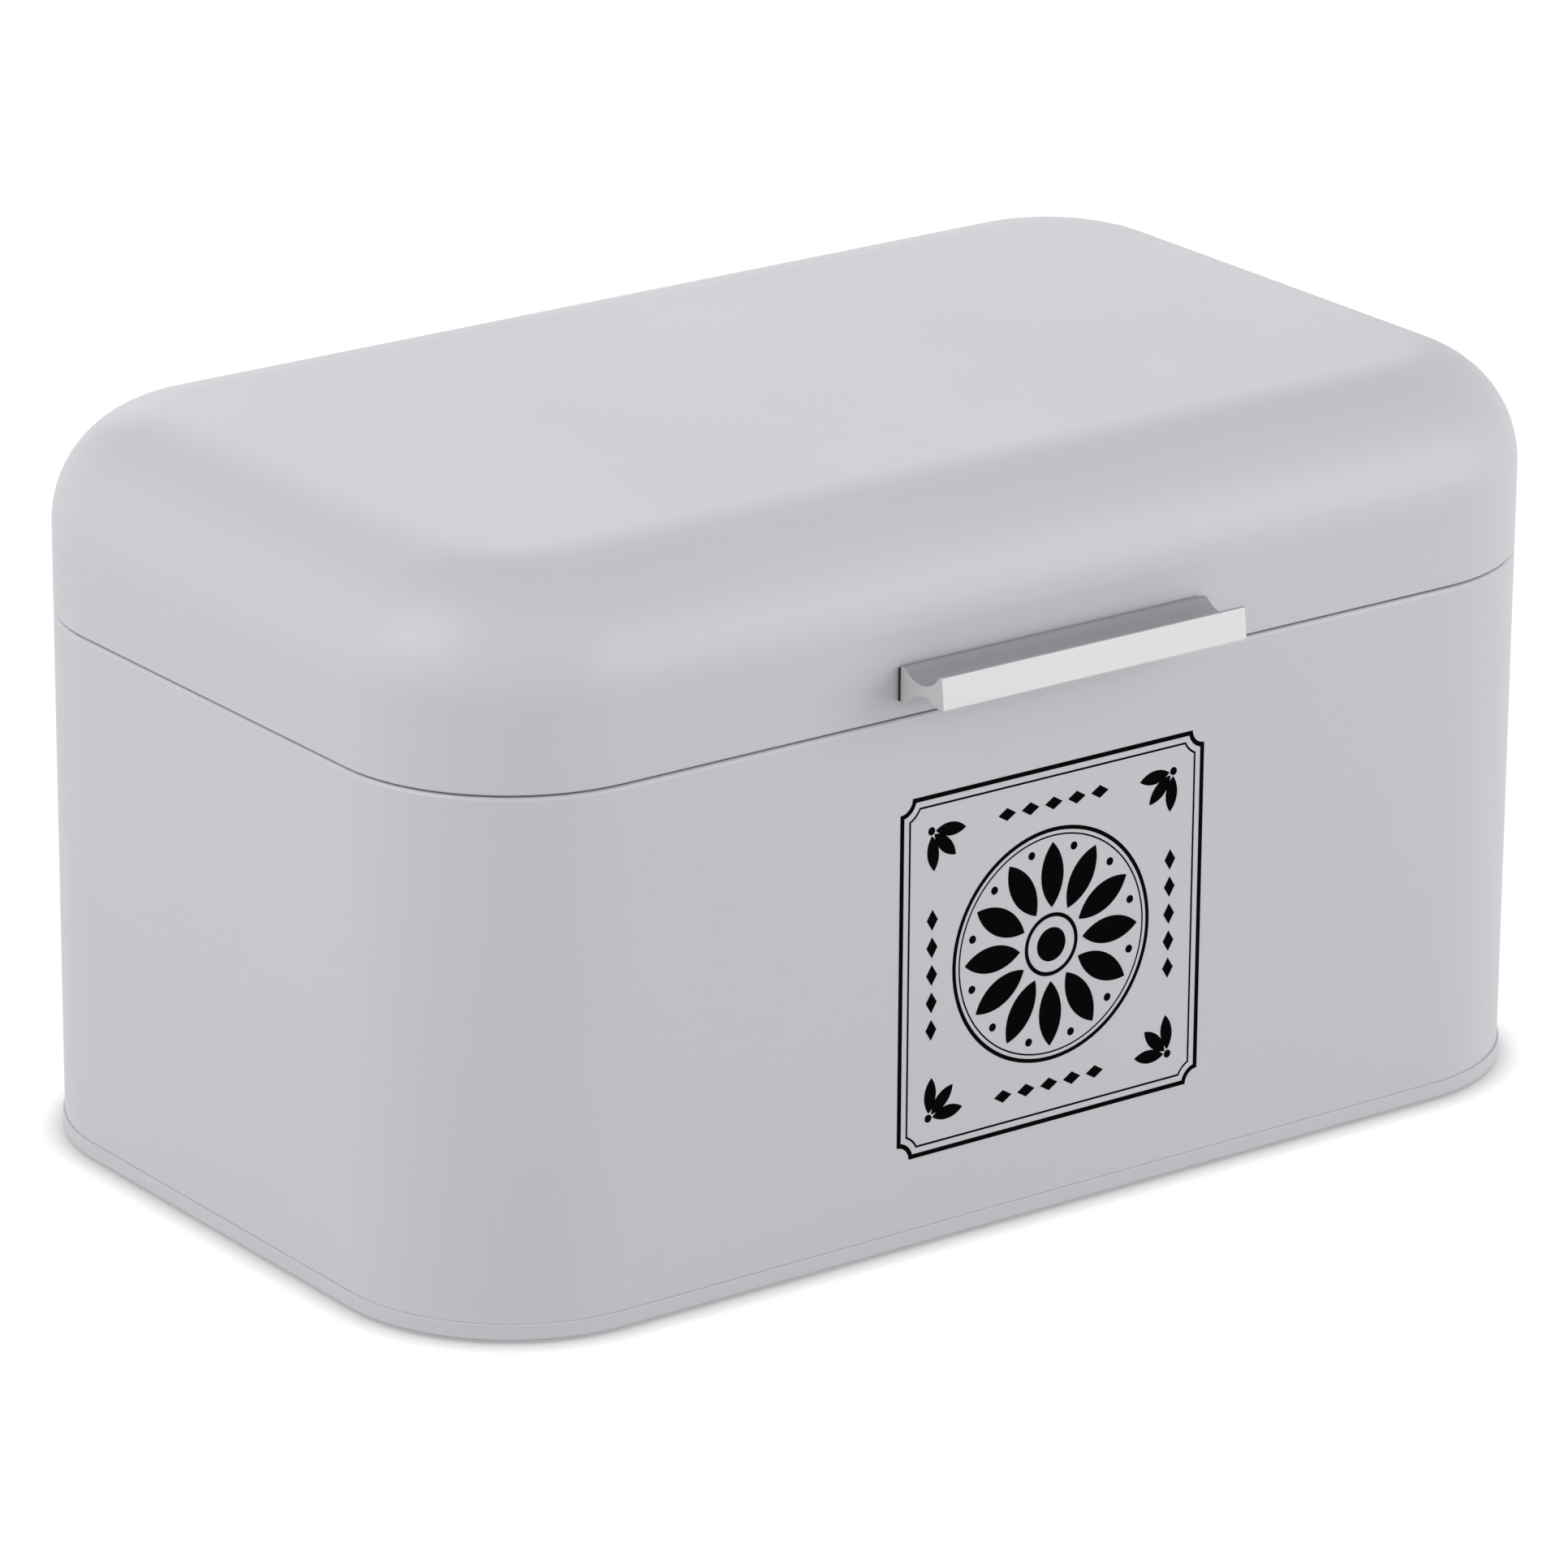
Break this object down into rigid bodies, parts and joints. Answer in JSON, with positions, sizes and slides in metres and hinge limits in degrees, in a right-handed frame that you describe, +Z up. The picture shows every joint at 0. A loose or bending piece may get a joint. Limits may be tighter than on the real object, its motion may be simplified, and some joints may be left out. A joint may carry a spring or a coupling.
{
  "type": "bread box",
  "caption": "Rounded rectangular sheet steel bread box: a drawn lid swings on rear hinges over the neck of the body, and a bar handle sits on the lid's front.",
  "frame": {"origin": "under the middle of the box's outline, on the plane of the feet's undersides", "axes": "+X along the front towards its right end, +Y from the front to the hinges at the rear, +Z up"},
  "size_m": [0.331, 0.233, 0.1808],
  "materials": {
    "painted_steel": "satin powder coat, pale grey",
    "handle_metal": "satin, bead blasted",
    "hinge_steel": "satin, zinc plated",
    "plated_steel": "bright zinc plated",
    "rubber": "matte black"
  },
  "bodies": {
    "base": {"body_wall": "painted_steel", "base_pan": "painted_steel", "foot_front_left": "rubber", "foot_front_right": "rubber", "foot_rear_left": "rubber", "foot_rear_right": "rubber", "hinge_bracket_left": "hinge_steel", "hinge_bracket_right": "hinge_steel", "hinge_pin_left": "plated_steel", "hinge_pin_right": "plated_steel", "bracket_rivets_left": "plated_steel", "bracket_rivets_right": "plated_steel"},
    "lid": {"lid_shell": "painted_steel", "handle": "handle_metal", "handle_gasket": "rubber", "handle_screw_left": "plated_steel", "handle_screw_right": "plated_steel", "handle_washer_left": "plated_steel", "handle_washer_right": "plated_steel", "hinge_strap_left": "hinge_steel", "hinge_strap_right": "hinge_steel", "strap_rivets_left": "plated_steel", "strap_rivets_right": "plated_steel"}
  },
  "joints": [
    {"name": "lid_hinge", "type": "hinge", "parent": "base", "child": "lid", "pos_m": [0, 0.106, 0.1318], "axis": [-1, 0, 0], "range_deg": [0, 100]}
  ]
}
